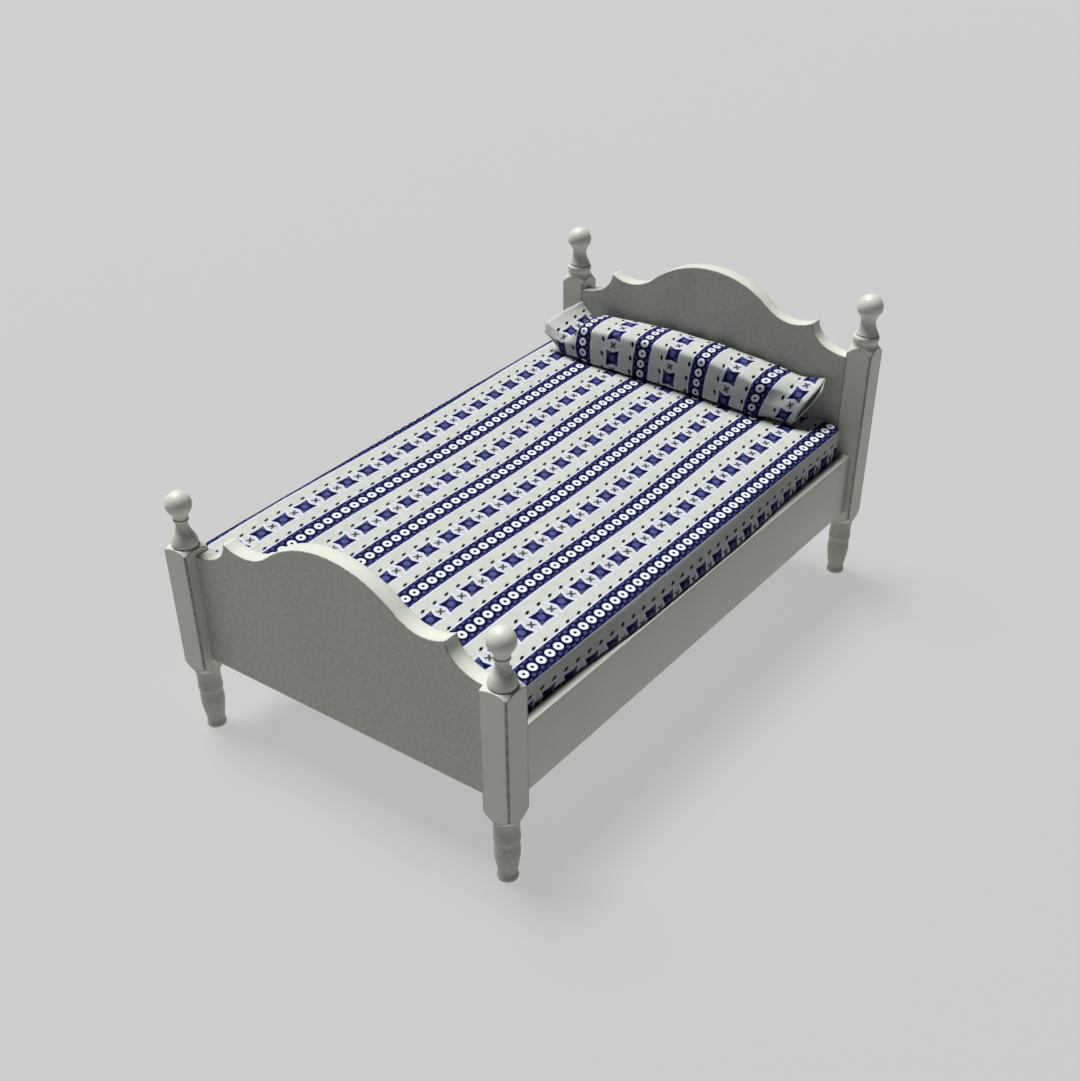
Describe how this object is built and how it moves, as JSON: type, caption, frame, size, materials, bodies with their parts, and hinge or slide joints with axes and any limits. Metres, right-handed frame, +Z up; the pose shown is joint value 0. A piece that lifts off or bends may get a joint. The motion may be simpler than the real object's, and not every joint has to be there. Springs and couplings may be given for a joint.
{
  "type": "miniature four poster bed",
  "caption": "Dolls house bed with turned corner posts, shaped headboard and footboard, slatted base, and a loose covered mattress and pillow.",
  "frame": {"origin": "on the floor, under the middle of the bed", "axes": "+Y to the head, along the bed's length, +X to the right seen from the foot, +Z up"},
  "size_m": [0.1062, 0.175, 0.0891],
  "materials": {
    "paint": "satin off-white paint, rubbed at the edges",
    "bare_wood": "unpainted, sanded",
    "foam": "cut foam",
    "stuffing": "polyester wadding",
    "printed_cotton": "twill cotton printed with blue stripes of rings and flowers"
  },
  "bodies": {
    "bed_frame": {"post_foot_left": "paint", "post_foot_right": "paint", "post_head_left": "paint", "post_head_right": "paint", "footboard": "paint", "headboard": "paint", "side_rail_left": "paint", "side_rail_right": "paint", "ledger_left": "bare_wood", "ledger_right": "bare_wood", "slat_1": "bare_wood", "slat_2": "bare_wood", "slat_3": "bare_wood", "slat_4": "bare_wood", "slat_5": "bare_wood", "slat_6": "bare_wood", "slat_7": "bare_wood"},
    "mattress": {"mattress_core": "foam", "mattress_cover": "printed_cotton"},
    "pillow": {"pillow_filling": "stuffing", "pillow_case": "printed_cotton"}
  },
  "joints": [
    {"name": "mattress_lift", "type": "slide", "parent": "bed_frame", "child": "mattress", "axis": [0, 0, 1], "range_m": [0, 0.06]},
    {"name": "pillow_lift", "type": "slide", "parent": "mattress", "child": "pillow", "axis": [0, 0, 1], "range_m": [0, 0.05]}
  ]
}
